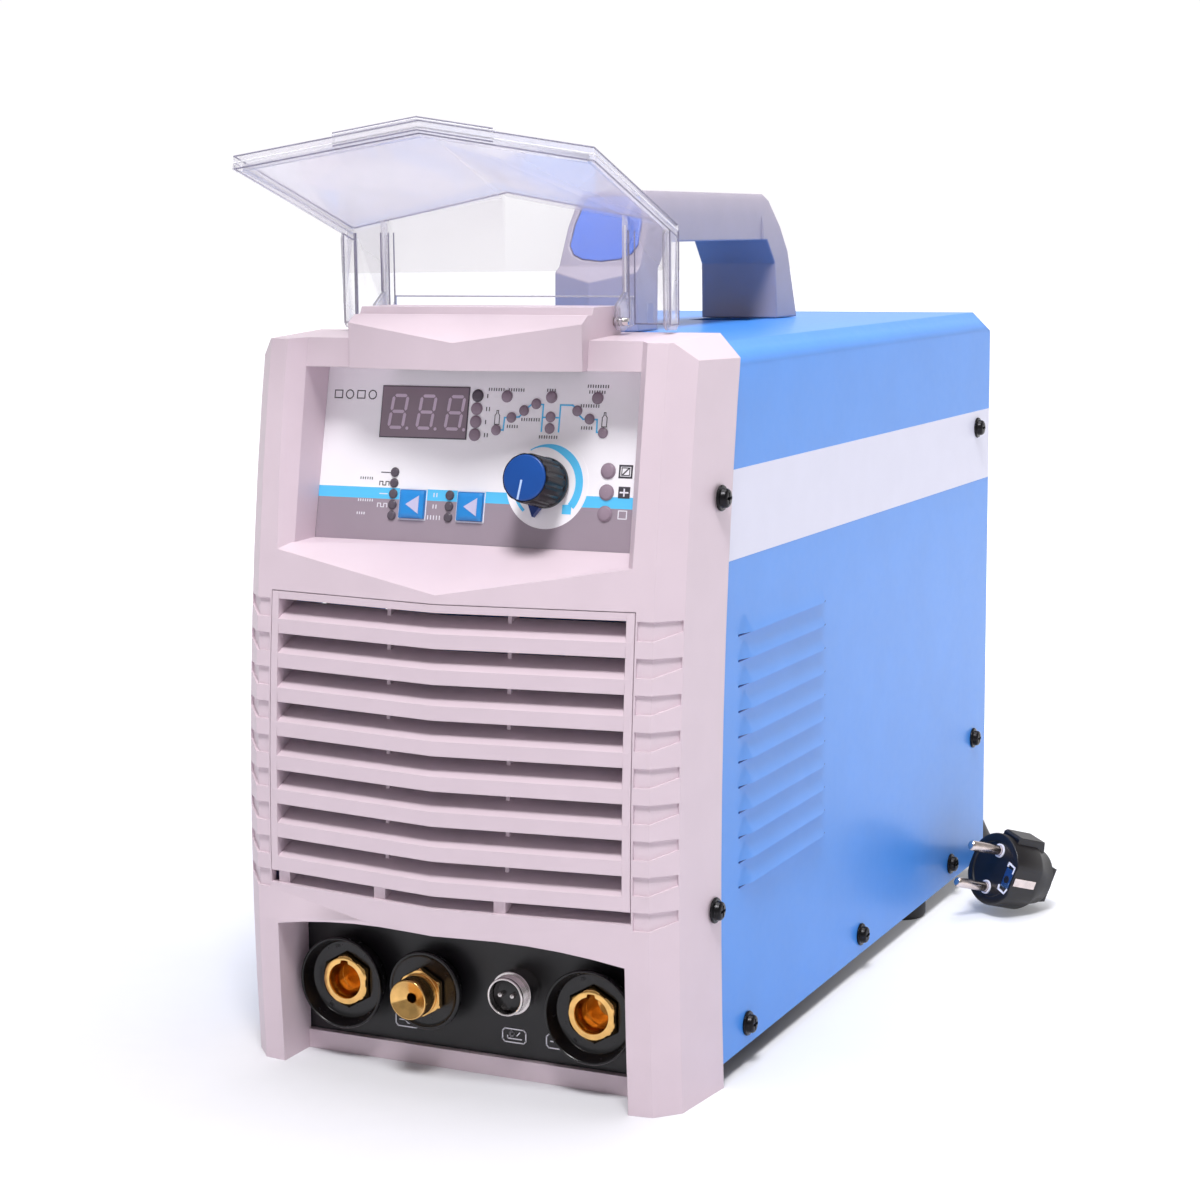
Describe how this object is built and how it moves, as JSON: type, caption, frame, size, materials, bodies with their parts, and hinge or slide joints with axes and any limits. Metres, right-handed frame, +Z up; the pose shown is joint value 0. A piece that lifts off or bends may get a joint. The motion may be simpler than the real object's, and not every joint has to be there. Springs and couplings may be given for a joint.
{
  "type": "tig welding machine",
  "caption": "Portable inverter welder with a louvred sheet cover, moulded front with slatted grille, clear flip-up guard over its controls, carry handle and coiled mains lead.",
  "frame": {"origin": "on the floor under the middle of the machine's box, measured without the free mains lead", "axes": "+X to the machine's right seen from the front, +Y towards the rear panel, +Z up"},
  "size_m": [0.2459, 0.5695, 0.3684],
  "materials": {
    "pale_plastic": "fine satin moulding grain",
    "blue_paint": "satin powder coat with a pale stripe",
    "black_paint": "satin black powder coat",
    "black_plastic": "satin",
    "grey_plastic": "fine moulding grain",
    "blue_plastic": "gloss",
    "clear_plastic": "clear polished moulding",
    "panel_overlay": "printed film, satin",
    "smoked_plastic": "smoked window",
    "circuit_board": "solder mask",
    "brass": "turned, bright",
    "nickel": "bright nickel plate",
    "aluminium": "extruded, plain",
    "ferrite": "dark sintered block",
    "copper": "enamelled copper winding",
    "rubber": "matt black rubber"
  },
  "bodies": {
    "machine": {"front_bezel": "pale_plastic", "grille_insert": "pale_plastic", "control_panel": "panel_overlay", "display_window": "smoked_plastic", "display_module": "black_plastic", "control_board": "circuit_board", "current_pot": "nickel", "tact_switch_left": "black_plastic", "tact_switch_right": "black_plastic", "hinge_pin_left": "nickel", "hinge_pin_right": "nickel", "socket_panel": "black_paint", "dinse_insulator_left": "black_plastic", "dinse_insulator_right": "black_plastic", "dinse_socket_left": "brass", "dinse_socket_right": "brass", "torch_insulator": "black_plastic", "torch_nozzle": "brass", "trigger_socket_shell": "nickel", "trigger_socket_insert": "black_plastic", "cover_shell": "blue_paint", "base_chassis": "black_paint", "rear_panel": "black_paint", "carry_handle": "grey_plastic", "handle_trim": "blue_plastic", "fan_frame": "black_plastic", "fan_guard": "nickel", "switch_body": "black_plastic", "gas_inlet": "brass", "earth_stud": "brass", "cable_gland": "black_plastic", "mains_lead": "rubber", "mains_lead_coil": "rubber", "mains_lead_tail": "rubber", "mains_plug": "rubber", "foot_left": "rubber", "foot_right": "rubber", "inverter_frame": "aluminium", "main_board": "circuit_board", "heat_sink_left": "aluminium", "heat_sink_right": "aluminium", "transformer_core": "ferrite", "transformer_winding": "copper", "output_choke": "copper", "capacitor_front": "black_plastic", "capacitor_rear": "black_plastic", "ignition_coil": "ferrite", "gas_valve": "brass", "valve_link": "rubber", "gas_hose": "rubber"},
    "cover": {"clear_cover": "clear_plastic"},
    "knob": {"knob_grip": "black_plastic", "knob_cap": "blue_plastic", "pot_shaft": "nickel"},
    "left_button": {"button_left": "blue_plastic"},
    "right_button": {"button_right": "blue_plastic"},
    "rotor": {"fan_rotor": "black_plastic"},
    "rocker": {"switch_rocker": "black_plastic"}
  },
  "joints": [
    {"name": "cover_hinge", "type": "hinge", "parent": "machine", "child": "cover", "pos_m": [0, -0.15246, 0.293], "axis": [1, 0, 0], "range_deg": [0, 95]},
    {"name": "knob_turn", "type": "hinge", "parent": "machine", "child": "knob", "pos_m": [0.0286, -0.1687, 0.23234], "axis": [0, 0.9775, -0.2111], "range_deg": [0, 300]},
    {"name": "button_left_press", "type": "slide", "parent": "machine", "child": "left_button", "axis": [0, 0.9775, -0.2111], "range_m": [0, 0.001], "stiffness_N_per_m": 400},
    {"name": "button_right_press", "type": "slide", "parent": "machine", "child": "right_button", "axis": [0, 0.9775, -0.2111], "range_m": [0, 0.001], "stiffness_N_per_m": 400},
    {"name": "fan_spin", "type": "hinge", "parent": "machine", "child": "rotor", "pos_m": [0, 0.176, 0.158], "axis": [0, 1, 0], "continuous": true},
    {"name": "power_rocker", "type": "hinge", "parent": "machine", "child": "rocker", "pos_m": [-0.056, 0.18904, 0.248], "axis": [-1, 0, 0], "range_deg": [0, 24]}
  ]
}
